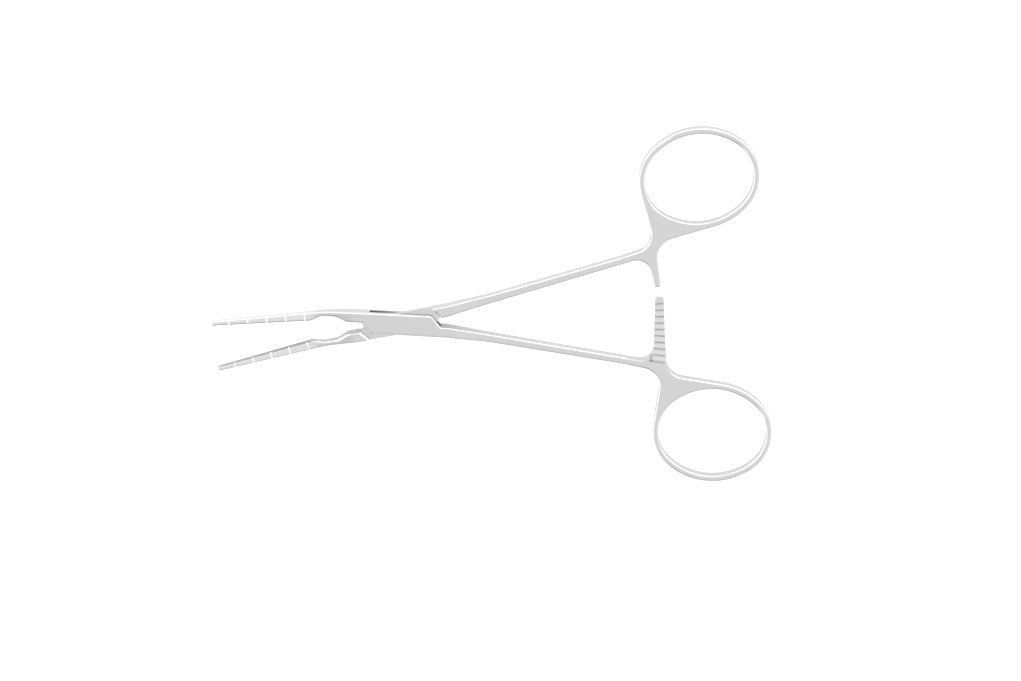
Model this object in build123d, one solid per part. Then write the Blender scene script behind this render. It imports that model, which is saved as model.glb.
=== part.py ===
from build123d import *
import math
import os

# Ring-handled box-lock catheter clamp, sizes in millimetres.
# The origin is on the pivot axis at the back face of the box. X runs along the centreline of the
# closed clamp towards the finger rings, Z towards the front face. Each half is drawn on its own
# side: u along X, v across it and positive towards the half's own finger ring.

# Pose in which the clamp lies: the inner half is swung open from the closed jaws
OPEN_ANGLE = 12.8

# Box lock
BOX_THICKNESS = 4.5
BOX_WIDTH = 5.6
BOX_HALF_LENGTH = 10.3
BOX_END_ANGLE = 39.6
TONGUE_THICKNESS = 1.8
TONGUE_CLEARANCE = 0.04
SLOT_END_GAP = 0.25
SHOULDER_GAP = 0.55
SHOULDER_BEVEL_DEPTH = 0.4
SHOULDER_BEVEL_SLOPE = 45.0
HALVES_GAP = 0.06
PIN_DIAMETER = 2.5
PIN_CLEARANCE = 0.05

# Neck between box and jaw, with the relief that keeps the halves apart behind the jaws: its
# straight, fall, floor and rise follow each other outwards from the box. The outer edge bends
# where the neck starts and ends, and the thickness tapers over a stretch of its own.
NECK_BEND_TO_BOX = 1.2
NECK_LENGTH = 8.5
NECK_WIDTH = 2.5
NECK_TAPER_TO_BOX = 2.9
NECK_TAPER_LENGTH = 9.2
NECK_STRAIGHT = 4.1
RELIEF_DEPTH = 1.2
RELIEF_FALL = 2.7
RELIEF_FLOOR = 3.7
RELIEF_RISE = 2.8

# Jaws
JAW_LENGTH = 26.3
JAW_ANGLE = 6.37
JAW_BEND_TO_BOX = 10.3
JAW_TIP_WIDTH = 1.35
JAW_BASE_THICKNESS = 2.8
JAW_TIP_THICKNESS = 1.9
GRIP_GAP = 0.05

# Jaw serrations: two rows of cross teeth with a groove between them
SERRATION_PITCH = 0.55
SERRATION_DEPTH = 0.22
SERRATION_MARGIN = 0.7
GRIP_GROOVE_WIDTH = 0.5
GRIP_GROOVE_DEPTH = 0.3

# Graduation lines across the front of the jaws
MARK_PITCH = 5.0
FIRST_MARK_TO_JAW = 1.7
MARK_WIDTH = 0.36
MARK_DEPTH = 0.18
MARK_TIP_MARGIN = 2.0

# Shank, by the bends of its two edges; the first stands a set way behind the box, the last a set
# way before the ring's near end
SHANK_ROOT_TO_BOX = 2.1
SHANK_ROOT_OUTER = 2.95
SHANK_ROOT_LENGTH = 11.6
SHANK_BEND_OUTER = 3.75
SHANK_END_TO_RING = 7.75
SHANK_END_WIDTH = 1.88
SHANK_INNER_RISE = 0.1262
SHANK_OUTER_RISE = 0.165
SHANK_TAPER_TO_BOX = 4.3
SHANK_TAPER_LENGTH = 5.9
HANDLE_THICKNESS = 3.6

# Finger ring: the hole is an oval of four arcs, longer along the centreline than it is wide, and
# its ends are rounder than half the width by the inset
RING_CENTRE_U = 83.6
RING_CENTRE_V = 25.4
RING_HOLE_WIDTH = 23.8
RING_HOLE_STRETCH = 4.7
RING_END_INSET = 1.4
RING_WALL = 1.6

# Web between shank and ring: how far past the ring's quarter points its two edges leave the ring,
# in degrees, and its corners
WEB_START_TURN = 6.6
WEB_END_TURN = 5.75
WEB_RING_RADIUS = 5.2
WEB_OUTER_RADIUS = 5.0
WEB_SHANK_RADIUS = 3.5

# Ratchet bars: how far they stand before the ring's centre, the width of each on the centreline,
# how far its two edges lean in u for each millimetre of v, and its reach past the centreline
RATCHET_TO_RING = 15.4
LONG_BAR_WIDTH = 2.88
LONG_BAR_INNER_LEAN = 0.033
LONG_BAR_OUTER_LEAN = 0.097
LONG_BAR_REACH = 10.4
SHORT_BAR_WIDTH = 2.04
SHORT_BAR_INNER_LEAN = -0.08
SHORT_BAR_OUTER_LEAN = 0.045
SHORT_BAR_REACH = 1.6

# Ratchet teeth, and the steps that bring each bar down to half the handle's thickness
RATCHET_GAP = 0.05
LONG_BAR_STEP = 6.6
STEP_SHOULDER = 0.1
CHANNEL_GAP = 0.5
TOOTH_PITCH = 1.755
TOOTH_DEPTH = 0.8
TOOTH_LAND = 0.2
LONG_BAR_TEETH = 9
LONG_BAR_FIRST_ROOT = 5.15
SHORT_BAR_TEETH = 3
SHORT_BAR_FIRST_ROOT = 3.9

# Softened corners and edges
EDGE_RADIUS = 0.55
CORNER_RADIUS = 0.7
JAW_TIP_OUTER_RADIUS = 0.64
JAW_TIP_INNER_RADIUS = 0.6
BAR_TIP_RADIUS = 0.7
RELIEF_RADIUS = 3.0
RELIEF_END_RADIUS = 1.5
NECK_RADIUS = 20.0
TAPER_RADIUS = 8.0
SHANK_ROOT_RADIUS = 6.0
SHANK_RADIUS = 60.0

# Reach of cutting blocks past what they cut
PAST = 3.0

# Least lean towards Z of a face that counts as front or back
LEVEL_LEAN = 0.5

# Worked out from the sizes above
MID = BOX_THICKNESS / 2
NECK_BEND = BOX_HALF_LENGTH + NECK_BEND_TO_BOX
NECK_END = NECK_BEND + NECK_LENGTH
NECK_TAPER_START = BOX_HALF_LENGTH + NECK_TAPER_TO_BOX
NECK_TAPER_END = NECK_TAPER_START + NECK_TAPER_LENGTH
NECK_START = BOX_HALF_LENGTH + NECK_STRAIGHT
RELIEF_START = NECK_START + RELIEF_FALL
RELIEF_END = RELIEF_START + RELIEF_FLOOR
JAW_START = RELIEF_END + RELIEF_RISE
JAW_TIP = JAW_START + JAW_LENGTH
JAW_BEND = BOX_HALF_LENGTH + JAW_BEND_TO_BOX
FIRST_MARK = JAW_START + FIRST_MARK_TO_JAW
SHANK_ROOT = BOX_HALF_LENGTH + SHANK_ROOT_TO_BOX
SHANK_BEND = SHANK_ROOT + SHANK_ROOT_LENGTH
SHANK_TAPER_START = BOX_HALF_LENGTH + SHANK_TAPER_TO_BOX
SHANK_TAPER_END = SHANK_TAPER_START + SHANK_TAPER_LENGTH
END_RISE = math.tan(math.radians(BOX_END_ANGLE))
JAW_RISE = math.tan(math.radians(JAW_ANGLE))
JAW_THINNING = (JAW_BASE_THICKNESS - JAW_TIP_THICKNESS) / 2 / (JAW_TIP - NECK_TAPER_END)
RING_END_RADIUS = RING_HOLE_WIDTH / 2 - RING_END_INSET
RING_END_SHIFT = RING_HOLE_STRETCH / 2 + RING_END_INSET
RING_SIDE_RADIUS = (RING_END_SHIFT**2 + (RING_HOLE_WIDTH / 2) ** 2 - RING_END_RADIUS**2) / (
    2 * RING_END_INSET
)
RING_SIDE_SHIFT = RING_SIDE_RADIUS - RING_HOLE_WIDTH / 2
RING_REACH = RING_END_SHIFT + RING_END_RADIUS + RING_WALL
SHANK_END = RING_CENTRE_U - RING_REACH - SHANK_END_TO_RING
SHANK_END_OUTER = HALVES_GAP + SHANK_INNER_RISE * (SHANK_END - SHANK_ROOT) + SHANK_END_WIDTH
RING_JOIN_ANGLE = math.degrees(math.atan2(RING_SIDE_SHIFT, RING_END_SHIFT))
RATCHET_RADIUS = RING_CENTRE_U - RATCHET_TO_RING
RING_FAR_U = RING_CENTRE_U + RING_REACH
RING_FAR_V = RING_CENTRE_V + RING_HOLE_WIDTH / 2 + RING_WALL


def grip_line(u, side):
    """Line on which the closed jaws meet, on the half's own side."""
    return side * JAW_RISE * (u + JAW_BEND)


def inner_edge(u):
    """Shank edge that faces the other half."""
    return HALVES_GAP + SHANK_INNER_RISE * (u - SHANK_ROOT)


def ring_arcs(growth, start, end):
    """Arcs of the ring's oval, grown outwards, anticlockwise from one direction to another."""
    join = RING_JOIN_ANGLE
    arcs = (
        ((0, RING_SIDE_SHIFT), RING_SIDE_RADIUS, start, -join),
        ((RING_END_SHIFT, 0), RING_END_RADIUS, -join, join),
        ((0, -RING_SIDE_SHIFT), RING_SIDE_RADIUS, join, 180 - join),
        ((-RING_END_SHIFT, 0), RING_END_RADIUS, 180 - join, end),
    )
    centre = Vector(RING_CENTRE_U, RING_CENTRE_V)
    return [
        CenterArc(centre + Vector(*shift), radius + growth, first, last - first).edge()
        for shift, radius, first, last in arcs
    ]


def ring_rim():
    """Outside of the ring, open where the web joins it."""
    return ring_arcs(RING_WALL, WEB_START_TURN - 90, WEB_END_TURN + 180)


def ring_hole():
    """Finger hole, as a face."""
    return make_face(ring_arcs(0, RING_JOIN_ANGLE - 180, RING_JOIN_ANGLE + 180))


def bar_edges(side):
    """The two edges of a half's ratchet bar, inner then outer, each as a place and a lean."""
    half_width = (SHORT_BAR_WIDTH if side > 0 else LONG_BAR_WIDTH) / 2
    inner_lean = SHORT_BAR_INNER_LEAN if side > 0 else LONG_BAR_INNER_LEAN
    outer_lean = SHORT_BAR_OUTER_LEAN if side > 0 else LONG_BAR_OUTER_LEAN
    return (RATCHET_RADIUS - half_width, inner_lean), (RATCHET_RADIUS + half_width, outer_lean)


def bar_path(side):
    """Corners of the ratchet bar, from the web's edge round the bar's tip to the shank."""
    (inner, inner_lean), (outer, outer_lean) = bar_edges(side)
    reach = SHORT_BAR_REACH if side > 0 else LONG_BAR_REACH
    first = ring_rim()[0]
    start, along = first @ 0, first % 0
    run = (outer + outer_lean * start.Y - start.X) / (along.X - outer_lean * along.Y)
    root = (inner_edge(0) * inner_lean + inner) / (1 - SHANK_INNER_RISE * inner_lean)
    return (
        (start + along * run, WEB_RING_RADIUS),
        ((outer - outer_lean * reach, -reach), BAR_TIP_RADIUS),
        ((inner - inner_lean * reach, -reach), BAR_TIP_RADIUS),
        ((root, inner_edge(root)), WEB_SHANK_RADIUS),
    )


def web_outer_corner():
    """Where the web's other edge meets the shank's outer edge."""
    last = ring_rim()[-1]
    end, along = last @ 1, last % 1
    rise = end.Y - SHANK_END_OUTER - SHANK_OUTER_RISE * (end.X - SHANK_END)
    return end - along * (rise / (along.Y - SHANK_OUTER_RISE * along.X))


def outline(side):
    """Plan of one half: jaw, neck, box, shank, ratchet bar, web and ring disc."""
    half_width = BOX_WIDTH / 2
    tip = grip_line(-JAW_TIP, side)
    relief = grip_line(-JAW_BEND, side) - RELIEF_DEPTH
    path = (
        *bar_path(side),
        ((SHANK_ROOT, HALVES_GAP), SHANK_ROOT_RADIUS),
        ((BOX_HALF_LENGTH + END_RISE * HALVES_GAP, HALVES_GAP), CORNER_RADIUS),
        ((BOX_HALF_LENGTH - END_RISE * half_width, -half_width), CORNER_RADIUS),
        ((-NECK_BEND, -half_width), NECK_RADIUS),
        ((-NECK_END, -NECK_WIDTH), NECK_RADIUS),
        ((-JAW_TIP, tip - JAW_TIP_WIDTH), JAW_TIP_OUTER_RADIUS),
        ((-JAW_TIP, tip - GRIP_GAP), JAW_TIP_INNER_RADIUS),
        ((-JAW_START, grip_line(-JAW_START, side) - GRIP_GAP), RELIEF_END_RADIUS),
        ((-RELIEF_END, relief), RELIEF_RADIUS),
        ((-RELIEF_START, relief), RELIEF_RADIUS),
        ((-NECK_START, -HALVES_GAP), RELIEF_END_RADIUS),
        ((-BOX_HALF_LENGTH - END_RISE * HALVES_GAP, -HALVES_GAP), CORNER_RADIUS),
        ((-BOX_HALF_LENGTH + END_RISE * half_width, half_width), CORNER_RADIUS),
        ((SHANK_ROOT, SHANK_ROOT_OUTER), SHANK_ROOT_RADIUS),
        ((SHANK_BEND, SHANK_BEND_OUTER), SHANK_RADIUS),
        ((SHANK_END, SHANK_END_OUTER), SHANK_RADIUS),
        (web_outer_corner(), WEB_OUTER_RADIUS),
    )
    ring = ring_rim()
    points = [ring[0] @ 0, *[point for point, _ in path], ring[-1] @ 1]
    edge = FilletPolyline(*points, radius=[radius for _, radius in path])
    return make_face(edge.edges() + ring)


def side_profile():
    """Side view that both halves share: full in the box, tapered along jaw and shank."""
    crest = [
        (-JAW_TIP - PAST, JAW_TIP_THICKNESS / 2 - JAW_THINNING * PAST),
        (-NECK_TAPER_END, JAW_BASE_THICKNESS / 2),
        (-NECK_TAPER_START, MID),
        (SHANK_TAPER_START, MID),
        (SHANK_TAPER_END, HANDLE_THICKNESS / 2),
        (RING_FAR_U + PAST, HANDLE_THICKNESS / 2),
    ]
    floor = [(u, -height) for u, height in reversed(crest)]
    face = make_face(Polyline(*crest, *floor, close=True))
    bends = face.vertices().sort_by(Axis.X)[2:-2]
    return Pos(0, 0, MID) * (Plane.XZ * fillet(bends, TAPER_RADIUS))


def rim(body):
    """Edges where the front and back faces meet the sides."""
    level = body.faces().filter_by(lambda face: abs(face.normal_at().Z) > LEVEL_LEAN)
    edges = [edge for face in level for edge in face.edges()]
    return [edge for edge in edges if edges.count(edge) == 1]


def blank(side):
    """One forged half before its slot, teeth and steps are cut."""
    body = extrude(outline(side), amount=BOX_THICKNESS) - extrude(ring_hole(), amount=BOX_THICKNESS)
    body &= extrude(side_profile(), amount=RING_FAR_V + PAST, both=True)
    return fillet(rim(body), EDGE_RADIUS)


def crossing(gap, height, slope=0):
    """Block over the stretch of the box that the other half passes, set back by a gap.

    It stands on the level z = 0, and a slope leans its sides outwards as it rises.
    """
    reach = BOX_HALF_LENGTH + gap / math.cos(math.radians(BOX_END_ANGLE))
    side = BOX_WIDTH
    corners = [
        (-reach + END_RISE * side, -side),
        (reach + END_RISE * side, -side),
        (reach - END_RISE * side, side),
        (-reach - END_RISE * side, side),
    ]
    return extrude(make_face(Polyline(*corners, close=True)), amount=height, taper=-slope)


def bar_step(side, shoulder, start, end):
    """Block over a stretch of the other or own bar, for the step down to half the thickness."""
    (inner, inner_lean), (outer, outer_lean) = bar_edges(side)
    corners = [
        (inner + inner_lean * start - shoulder, start),
        (outer + outer_lean * start + shoulder, start),
        (outer + outer_lean * end + shoulder, end),
        (inner + inner_lean * end - shoulder, end),
    ]
    return extrude(make_face(Polyline(*corners, close=True)), amount=BOX_THICKNESS)


def teeth(root, count):
    """Sawtooth notches across a ratchet bar, their steep walls towards the half's own shank.

    They are cut down from the plane on which the two bars slide past each other.
    """
    profile = Polyline(
        (0, -TOOTH_DEPTH),
        (0, PAST),
        (TOOTH_PITCH, PAST),
        (TOOTH_PITCH - TOOTH_LAND, 0),
        close=True,
    )
    cutters = []
    for number in range(count):
        angle = math.asin(root / RATCHET_RADIUS) - number * TOOTH_PITCH / RATCHET_RADIUS
        radial = Vector(math.cos(angle), math.sin(angle))
        tangent = Vector(-math.sin(angle), math.cos(angle))
        place = Plane(origin=radial * (RATCHET_RADIUS - PAST), x_dir=tangent, z_dir=radial)
        cutters.append(extrude(place * make_face(profile), amount=2 * PAST))
    return cutters


def flipped(cutter, level):
    """A cutter made for a front face, turned to cut a face that looks back."""
    return Pos(0, 0, level) * mirror(cutter, about=Plane.XY)


def serrations(side):
    """Cross teeth on the grip face in two rows, and the groove between the rows."""
    start, end = JAW_START + SERRATION_MARGIN, JAW_TIP - SERRATION_MARGIN
    count = int((end - start) / SERRATION_PITCH * math.cos(math.radians(JAW_ANGLE)))
    notch = make_face(
        Polyline(
            (-SERRATION_PITCH / 2, GRIP_GAP),
            (0, -SERRATION_DEPTH),
            (SERRATION_PITCH / 2, GRIP_GAP),
            close=True,
        )
    )
    tilt = Rot(0, 0, side * JAW_ANGLE)
    cutters = []
    for number in range(count):
        u = -start - SERRATION_PITCH / 2 - number * SERRATION_PITCH
        place = Pos(u, grip_line(u, side) - GRIP_GAP, 0)
        cutters.append(place * tilt * extrude(notch, amount=BOX_THICKNESS))
    return cutters


def grip_groove(side):
    """Lengthwise groove that parts the two rows of cross teeth."""
    length = (JAW_TIP - JAW_START) / math.cos(math.radians(JAW_ANGLE))
    centred = (Align.MAX, Align.CENTER, Align.CENTER)
    groove = Box(length, 2 * GRIP_GROOVE_DEPTH, GRIP_GROOVE_WIDTH, align=centred)
    place = Pos(-JAW_START, grip_line(-JAW_START, side) - GRIP_GAP, MID)
    return place * Rot(0, 0, side * JAW_ANGLE) * groove


def marks(side):
    """Graduation lines: notches across the front face of the jaw."""
    cutters = []
    count = 1 + int((JAW_TIP - MARK_TIP_MARGIN - FIRST_MARK) / MARK_PITCH)
    for number in range(count):
        u = FIRST_MARK + number * MARK_PITCH
        front = MID + JAW_BASE_THICKNESS / 2 - JAW_THINNING * (u - NECK_TAPER_END)
        notch = Polyline(
            (-MARK_WIDTH / 2 - MARK_DEPTH, front + MARK_DEPTH),
            (0, front - MARK_DEPTH),
            (MARK_WIDTH / 2 + MARK_DEPTH, front + MARK_DEPTH),
            close=True,
        )
        bar = extrude(Plane.XZ * make_face(notch), amount=PAST, both=True)
        cutters.append(Pos(-u, grip_line(-u, side)) * Rot(0, 0, side * JAW_ANGLE) * bar)
    return cutters


def box_half():
    """Half with the slotted box and the long ratchet bar, whose teeth face the front."""
    body = blank(-1)
    slot = TONGUE_THICKNESS + 2 * TONGUE_CLEARANCE
    body -= Pos(0, 0, MID - slot / 2) * crossing(SLOT_END_GAP, slot)
    body -= Pos(0, 0, MID) * Cylinder(PIN_DIAMETER / 2, BOX_THICKNESS + PAST)
    slide = MID - RATCHET_GAP
    body -= Pos(0, 0, slide) * bar_step(-1, STEP_SHOULDER, -LONG_BAR_REACH - PAST, LONG_BAR_STEP)
    body -= [Pos(0, 0, slide) * tooth for tooth in teeth(LONG_BAR_FIRST_ROOT, LONG_BAR_TEETH)]
    body -= serrations(-1) + [grip_groove(-1)] + marks(-1)
    return mirror(body, about=Plane.XZ)


def inner_half():
    """Half with the tongue and the short ratchet bar, whose teeth face the back."""
    body = blank(1)
    bevel = Pos(0, 0, MID - SHOULDER_BEVEL_DEPTH) * crossing(SHOULDER_GAP, PAST, SHOULDER_BEVEL_SLOPE)
    cheek_room = Pos(0, 0, TONGUE_THICKNESS / 2) * crossing(SHOULDER_GAP, PAST) + bevel
    body -= Pos(0, 0, MID) * cheek_room
    body -= flipped(cheek_room, MID)
    body -= Pos(0, 0, MID) * Cylinder(PIN_DIAMETER / 2 + PIN_CLEARANCE, BOX_THICKNESS)
    slide = MID + RATCHET_GAP
    channel = bar_step(-1, CHANNEL_GAP, -LONG_BAR_REACH - CHANNEL_GAP, SHORT_BAR_REACH + PAST)
    body -= flipped(mirror(channel, about=Plane.XZ), slide)
    body -= [flipped(tooth, slide) for tooth in teeth(SHORT_BAR_FIRST_ROOT, SHORT_BAR_TEETH)]
    body -= serrations(1) + [grip_groove(1)] + marks(1)
    return Rot(0, 0, OPEN_ANGLE) * body


def pivot_pin():
    """Pin through cheeks and tongue, flush with both faces of the box."""
    return Pos(0, 0, MID) * Cylinder(PIN_DIAMETER / 2, BOX_THICKNESS)


os.makedirs("parts", exist_ok=True)
for name, shape in (("box_half", box_half()), ("inner_half", inner_half()), ("pivot_pin", pivot_pin())):
    export_step(shape, f"parts/{name}.step")
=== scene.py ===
import math

import bpy
from mathutils import Matrix, Vector


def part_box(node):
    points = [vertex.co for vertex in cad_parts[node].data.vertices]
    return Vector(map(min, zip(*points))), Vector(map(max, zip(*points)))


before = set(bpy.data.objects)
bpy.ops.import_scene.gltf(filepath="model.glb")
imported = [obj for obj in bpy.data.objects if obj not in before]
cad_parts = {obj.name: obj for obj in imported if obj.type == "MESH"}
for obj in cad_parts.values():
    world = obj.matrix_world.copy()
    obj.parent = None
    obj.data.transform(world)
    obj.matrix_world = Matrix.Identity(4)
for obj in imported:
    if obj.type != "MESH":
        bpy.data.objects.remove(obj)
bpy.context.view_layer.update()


# All lengths are in metres, apart from the sensor's width in millimetres

# The photograph's frame, in pixels
IMAGE_WIDTH = 1021
IMAGE_HEIGHT = 681

# Where the pivot lies in it, and the scale there in pixels to the metre
PIVOT_COLUMN = 401.0
PIVOT_ROW = 323.05
PIVOT_SCALE = 3800.0

# Camera: distance from the pivot, lean from straight above, turn of the clamp in the frame, width
# of the sensor, and how far the camera sees, in its distances from the pivot
CAMERA_DISTANCE = 1.25
CAMERA_LEAN = math.radians(15.5)
CAMERA_TURN = math.radians(2.94)
SENSOR_WIDTH = 36.0
CLIP_REACH = 10

# Steel: satin all over with buffed rims that also carry a painted highlight, paler and duller on
# the jaws, with white graduation lines on their fronts painted as a highlight, and painted shade in
# the roots between the grip teeth
STEEL_COLOUR = (0.70, 0.705, 0.70)
JAW_COLOUR = (0.82, 0.825, 0.82)
# Rim colour is a painted highlight: lighter steel on the rims, chosen by which way they face
RIM_HIGHLIGHT_COLOUR = (0.87, 0.875, 0.87)
# Root colour is painted shade, darkening the grip band where the tooth recesses fall into shade
ROOT_SHADE_COLOUR = (0.30, 0.30, 0.30)
# Line colour: the graduation grooves are real, and their white is a painted highlight of the light
# their walls catch
LINE_HIGHLIGHT_COLOUR = (0.98, 0.98, 0.98)
STEEL_ROUGHNESS = 0.28
RIM_ROUGHNESS = 0.2
JAW_ROUGHNESS = 0.34
LINE_ROUGHNESS = 0.6

# Grain: its fineness, its scale along the clamp against across, its height, its mean value, and by
# how much it changes the roughness
GRAIN_SCALE = 900.0
GRAIN_STRETCH = 0.12
GRAIN_HEIGHT = 0.0000022
GRAIN_MEAN = 0.5
ROUGHNESS_SPREAD = 0.06

# How level a face is where the rims and their painted highlight begin at the flats, and where they
# end at the sides
RIM_START = (0.97, 0.92)
RIM_END = (0.25, 0.4)

# Long ratchet bar, which stays satin without the rims' painted highlight: it lies beyond this place
# along the clamp and beyond this one across it
BAR_FROM = 0.060
BAR_BASE = -0.0097

# Jaws: where their straight part leaves the centreline of the closed clamp and at what angle, how
# far the inner half is swung open as the clamp lies, and over what stretch the steel turns paler
JAW_BEND = 0.0206
JAW_ANGLE = math.radians(6.37)
LYING_ANGLE = math.radians(12.8)
JAW_FADE = (0.0, 0.005)

# Graduation lines: the first one's place along the jaw, their pitch, count, width and soft edge,
# and the heights between which they come in
FIRST_LINE = 0.0047
LINE_PITCH = 0.005
LINE_COUNT = 5
LINE_WIDTH = 0.00036
LINE_EDGE = 0.00006
LINE_HEIGHT_RANGE = (0.0028, 0.003)

# Grip teeth: distances from the line of the grip over which the painted shade of the roots comes
# and goes
ROOT_START = (0.00008, 0.00024)
ROOT_END = (0.00036, 0.0003)

# Colour of the floor's glow and of the surroundings
WHITE = (1, 1, 1, 1)

# Floor: its size, how far it lies under the clamp, its colour, and its glow to the camera and in
# reflections
FLOOR_SIZE = 4.0
FLOOR_DROP = 0.00002
FLOOR_COLOUR = (0.70, 0.70, 0.70)
FLOOR_GLOW = 0.65
FLOOR_GLOW_REFLECTED = 0.30

# Surroundings: their strength, which is higher low at the far side and at the left, and lower
# towards the near side and just left of straight above. Each range is the stretch of directions
# over which a change comes.
SKY_LEVEL = 0.98
FAR_GAIN = 0.6
FAR_RANGE = (0.15, 0.4)
FAR_HEIGHT_RANGE = (0.76, 0.56)
LEFT_DIP = -0.25
LEFT_DIP_RANGE = (0.04, 0.16)
LEFT_GAIN = 0.55
LEFT_RANGE = (0.3, 0.6)
NEAR_DIP = -0.45
NEAR_RANGE = (0.45, 0.85)

# Lamp: its power in watts, its size and its place
KEY_POWER = 1.5
KEY_SIZE = 1.2
KEY_PLACE = (-1.0, 0.5, 1.4)


def pivot_point():
    """Middle of the pivot pin."""
    low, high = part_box("pivot_pin")
    return (low + high) / 2


def add_camera():
    """Camera at the photograph's angle, moved sideways so that the pivot keeps its pixel."""
    right = Vector((math.cos(CAMERA_TURN), math.sin(CAMERA_TURN), 0))
    ahead = Vector((-math.sin(CAMERA_TURN), math.cos(CAMERA_TURN), 0))
    back = math.sin(CAMERA_LEAN) * ahead + Vector((0, 0, math.cos(CAMERA_LEAN)))
    up = back.cross(right)
    across = (IMAGE_WIDTH / 2 - PIVOT_COLUMN) / PIVOT_SCALE
    down = (IMAGE_HEIGHT / 2 - PIVOT_ROW) / PIVOT_SCALE
    place = pivot_point() + CAMERA_DISTANCE * back + across * right - down * up
    data = bpy.data.cameras.new("camera")
    data.type = "PERSP"
    data.sensor_width = SENSOR_WIDTH
    data.lens = CAMERA_DISTANCE * PIVOT_SCALE * SENSOR_WIDTH / IMAGE_WIDTH
    data.clip_end = CLIP_REACH * CAMERA_DISTANCE
    camera = bpy.data.objects.new("camera", data)
    turn = Matrix((right, up, back)).transposed().to_4x4()
    camera.matrix_world = Matrix.Translation(place) @ turn
    bpy.context.scene.collection.objects.link(camera)
    bpy.context.scene.camera = camera


class Nodes:
    """Short way to add and join the nodes of one material or world."""

    # Where a Mix node has its share and its two colours, and where it gives the colour between
    MIX_INPUTS = (0, 6, 7)
    MIX_OUTPUT = 2

    def __init__(self, tree):
        self.tree = tree

    def add(self, kind, inputs=(), **settings):
        """New node with its settings, its inputs set to values or joined to outputs."""
        node = self.tree.nodes.new("ShaderNode" + kind)
        for name, value in settings.items():
            setattr(node, name, value)
        for place, value in dict(inputs).items():
            self.join(value, node.inputs[place])
        return node

    def join(self, value, socket):
        """Sets a socket to a plain value, or joins it to an output."""
        if isinstance(value, bpy.types.NodeSocket):
            self.tree.links.new(value, socket)
        else:
            socket.default_value = value

    def math(self, operation, *values):
        """Result of one calculation."""
        return self.add("Math", enumerate(values), operation=operation).outputs[0]

    def split(self, vector):
        """X, Y and Z of a vector."""
        return self.add("SeparateXYZ", {"Vector": vector}).outputs

    def reach(self, vector, way):
        """How far a vector goes in one direction."""
        return self.add("VectorMath", {0: vector, 1: way}, operation="DOT_PRODUCT").outputs["Value"]

    def ramp(self, value, start, end, low=0.0, high=1.0, soft=True):
        """Value turned into a soft or straight rise from low to high between start and end."""
        inputs = {"Value": value, "From Min": start, "From Max": end, "To Min": low, "To Max": high}
        kind = "SMOOTHSTEP" if soft else "LINEAR"
        return self.add("MapRange", inputs, interpolation_type=kind).outputs["Result"]

    def blend(self, share, first, second):
        """Colour between two others."""
        node = self.add("Mix", data_type="RGBA")
        for place, value in zip(self.MIX_INPUTS, (share, first, second)):
            self.join(value, node.inputs[place])
        return node.outputs[self.MIX_OUTPUT]


def jaw_place(nodes, name):
    """How far a point lies out along its jaw, how far from the line of the grip, and how high."""
    swing = LYING_ANGLE if name == "inner_half" else 0
    bend = Matrix.Rotation(swing, 3, "Z") @ Vector((-JAW_BEND, 0, 0))
    turn = Matrix.Rotation(swing + JAW_ANGLE, 3, "Z")
    where = nodes.add("TexCoord").outputs["Object"]
    offset = nodes.add("VectorMath", {0: where, 1: bend}, operation="SUBTRACT").outputs[0]
    along = nodes.reach(offset, turn @ Vector((-1, 0, 0)))
    aside = nodes.math("ABSOLUTE", nodes.reach(offset, turn @ Vector((0, 1, 0))))
    return along, aside, nodes.split(where)["Z"]


def line_mask(nodes, along, height):
    """One on the graduation lines, nought between and beyond them and below the jaws' fronts."""
    past_first = nodes.math("SUBTRACT", along, FIRST_LINE)
    from_line = nodes.math("PINGPONG", past_first, LINE_PITCH / 2)
    on_line = nodes.ramp(from_line, LINE_WIDTH / 2 + LINE_EDGE, LINE_WIDTH / 2 - LINE_EDGE)
    after_start = nodes.math("GREATER_THAN", past_first, -LINE_WIDTH)
    before_end = nodes.math("LESS_THAN", past_first, (LINE_COUNT - 1) * LINE_PITCH + LINE_WIDTH)
    in_front = nodes.ramp(height, *LINE_HEIGHT_RANGE)
    in_row = nodes.math("MULTIPLY", after_start, before_end)
    return nodes.math("MULTIPLY", on_line, nodes.math("MULTIPLY", in_row, in_front))


def root_shade_mask(nodes, jaw, aside):
    """Painted shade: one on the roots between the grip teeth, nought on their crests and on the
    steel behind.
    """
    past_crest = nodes.ramp(aside, *ROOT_START)
    before_steel = nodes.ramp(aside, *ROOT_END)
    return nodes.math("MULTIPLY", jaw, nodes.math("MULTIPLY", past_crest, before_steel))


def rim_and_highlight_mask(nodes, name):
    """Painted highlight and buffing: one on the rounded rims and the bevels, nought on flats, sides
    and the long ratchet bar.
    """
    normal = nodes.add("NewGeometry").outputs["Normal"]
    level = nodes.math("ABSOLUTE", nodes.split(normal)["Z"])
    rim_and_highlight = nodes.math("MULTIPLY", nodes.ramp(level, *RIM_START), nodes.ramp(level, *RIM_END))
    if name != "box_half":
        return rim_and_highlight
    place = nodes.split(nodes.add("TexCoord").outputs["Object"])
    before_bar = nodes.math("LESS_THAN", place["X"], BAR_FROM)
    beside_bar = nodes.math("LESS_THAN", place["Y"], BAR_BASE)
    return nodes.math("MULTIPLY", rim_and_highlight, nodes.math("MAXIMUM", before_bar, beside_bar))


def add_grain(nodes, shader):
    """Fine grain along the clamp as a bump. Gives back how much it changes the roughness."""
    where = nodes.add("TexCoord").outputs["Object"]
    stretch = nodes.add("Mapping", {"Vector": where, "Scale": (GRAIN_STRETCH, 1, 1)})
    grain = nodes.add("TexNoise", {"Vector": stretch.outputs[0], "Scale": GRAIN_SCALE}).outputs[0]
    bump = nodes.add("Bump", {"Height": grain, "Distance": GRAIN_HEIGHT})
    nodes.join(bump.outputs["Normal"], shader.inputs["Normal"])
    return nodes.math("MULTIPLY", nodes.math("SUBTRACT", grain, GRAIN_MEAN), ROUGHNESS_SPREAD)


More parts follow.
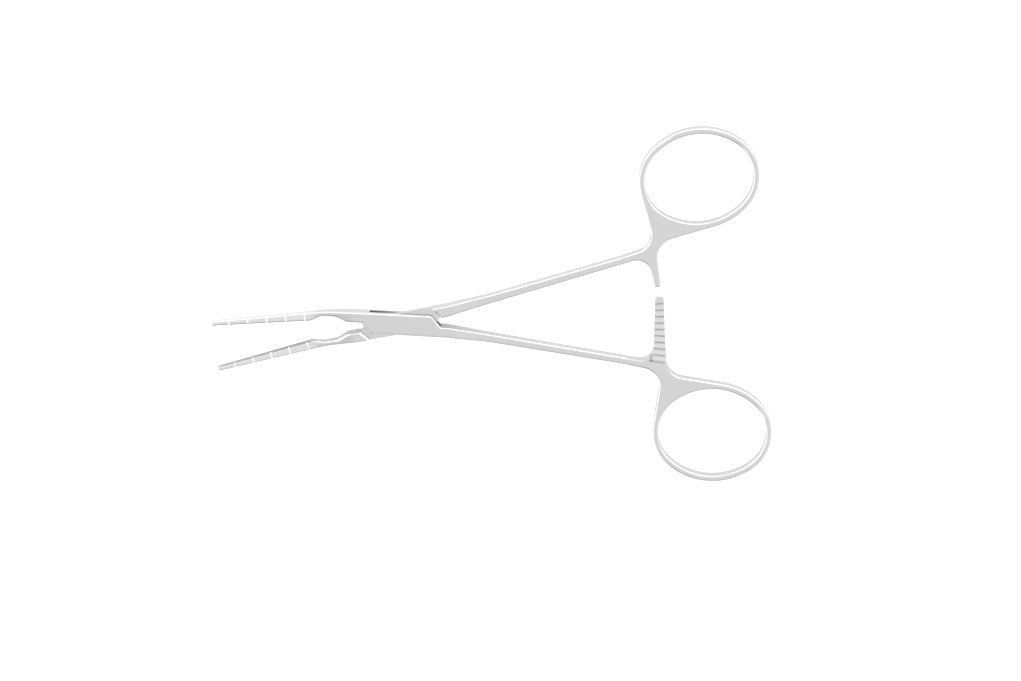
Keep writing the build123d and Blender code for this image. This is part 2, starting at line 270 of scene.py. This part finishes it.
def finish_half(nodes, shader, name, spread):
    """Satin steel with buffed rims under a painted highlight, paler jaws, painted shade in the
    roots between grip teeth, and white lines painted as a highlight.
    """
    along, aside, height = jaw_place(nodes, name)
    jaw = nodes.ramp(along, *JAW_FADE)
    rim_and_highlight = rim_and_highlight_mask(nodes, name)
    root_shade = root_shade_mask(nodes, jaw, aside)
    line = line_mask(nodes, along, height)

    steel = nodes.blend(jaw, (*STEEL_COLOUR, 1), (*JAW_COLOUR, 1))
    # Painted highlight on the rims, painted shade in the tooth roots, and white lines painted as a
    # highlight
    for share, colour in ((rim_and_highlight, RIM_HIGHLIGHT_COLOUR), (root_shade, ROOT_SHADE_COLOUR), (line, LINE_HIGHLIGHT_COLOUR)):
        steel = nodes.blend(share, steel, (*colour, 1))
    nodes.join(steel, shader.inputs["Base Color"])
    nodes.join(nodes.math("SUBTRACT", 1.0, line), shader.inputs["Metallic"])

    dull = nodes.ramp(jaw, 0.0, 1.0, STEEL_ROUGHNESS, JAW_ROUGHNESS, soft=False)
    duller = nodes.math("MULTIPLY", line, LINE_ROUGHNESS - JAW_ROUGHNESS)
    buffed = nodes.math("MULTIPLY", rim_and_highlight, RIM_ROUGHNESS - STEEL_ROUGHNESS)
    rough = nodes.math("ADD", nodes.math("ADD", dull, duller), nodes.math("ADD", spread, buffed))
    nodes.join(rough, shader.inputs["Roughness"])


def finish_pin(nodes, shader, spread):
    """Satin steel all over."""
    shader.inputs["Base Color"].default_value = (*STEEL_COLOUR, 1)
    shader.inputs["Metallic"].default_value = 1.0
    nodes.join(nodes.math("ADD", spread, STEEL_ROUGHNESS), shader.inputs["Roughness"])


def new_material(name):
    """New material, a way to its nodes, and its shader."""
    material = bpy.data.materials.new(name)
    material.use_nodes = True
    return material, Nodes(material.node_tree), material.node_tree.nodes["Principled BSDF"]


def satin_steel(name):
    """Grained steel of one piece."""
    material, nodes, shader = new_material(name + "_steel")
    spread = add_grain(nodes, shader)
    if name == "pivot_pin":
        finish_pin(nodes, shader, spread)
    else:
        finish_half(nodes, shader, name, spread)
    return material


def finish_nodes():
    """Gives each piece of the clamp its steel."""
    for name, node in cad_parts.items():
        node.data.materials.clear()
        node.data.materials.append(satin_steel(name))


def add_floor():
    """Plain pale floor just under the back face, white to the camera and pale in reflections."""
    bpy.ops.mesh.primitive_plane_add(size=FLOOR_SIZE, location=(0, 0, -FLOOR_DROP))
    floor = bpy.context.object
    floor.name = "floor"
    material, nodes, shader = new_material("floor")
    shader.inputs["Base Color"].default_value = (*FLOOR_COLOUR, 1)
    shader.inputs["Roughness"].default_value = 1.0
    shader.inputs["Specular IOR Level"].default_value = 0.0
    shader.inputs["Emission Color"].default_value = WHITE
    rays = nodes.add("LightPath").outputs
    seen = nodes.math("MULTIPLY", rays["Is Camera Ray"], FLOOR_GLOW)
    mirrored = nodes.math("MULTIPLY", rays["Is Glossy Ray"], FLOOR_GLOW_REFLECTED)
    nodes.join(nodes.math("ADD", seen, mirrored), shader.inputs["Emission Strength"])
    floor.data.materials.append(material)


def add_surroundings():
    """Pale surroundings that the steel mirrors, white wherever the camera sees them."""
    world = bpy.data.worlds.new("world")
    bpy.context.scene.world = world
    world.use_nodes = True
    nodes = Nodes(world.node_tree)
    sky = world.node_tree.nodes["Background"]
    sky.inputs["Color"].default_value = WHITE
    way = nodes.split(nodes.add("TexCoord").outputs["Generated"])
    far = way["Y"]
    near = nodes.math("MULTIPLY", far, -1)
    left = nodes.math("MULTIPLY", way["X"], -1)
    low = nodes.ramp(way["Z"], *FAR_HEIGHT_RANGE)
    changes = (
        nodes.math("MULTIPLY", low, nodes.ramp(far, *FAR_RANGE, high=FAR_GAIN)),
        nodes.ramp(left, *LEFT_DIP_RANGE, high=LEFT_DIP),
        nodes.ramp(left, *LEFT_RANGE, high=LEFT_GAIN),
        nodes.ramp(near, *NEAR_RANGE, high=NEAR_DIP),
    )
    level = SKY_LEVEL
    for change in changes:
        level = nodes.math("ADD", level, change)
    seen = nodes.add("LightPath").outputs["Is Camera Ray"]
    nodes.join(nodes.math("MAXIMUM", level, seen), sky.inputs["Strength"])


def add_lamp():
    """One broad soft lamp, turned to the pivot."""
    data = bpy.data.lights.new("key", "AREA")
    data.energy = KEY_POWER
    data.size = KEY_SIZE
    lamp = bpy.data.objects.new("key", data)
    lamp.location = KEY_PLACE
    lamp.rotation_euler = (pivot_point() - lamp.location).to_track_quat("-Z", "Y").to_euler()
    bpy.context.scene.collection.objects.link(lamp)


bpy.context.scene.view_settings.view_transform = "Standard"
add_camera()
finish_nodes()
add_floor()
add_surroundings()
add_lamp()
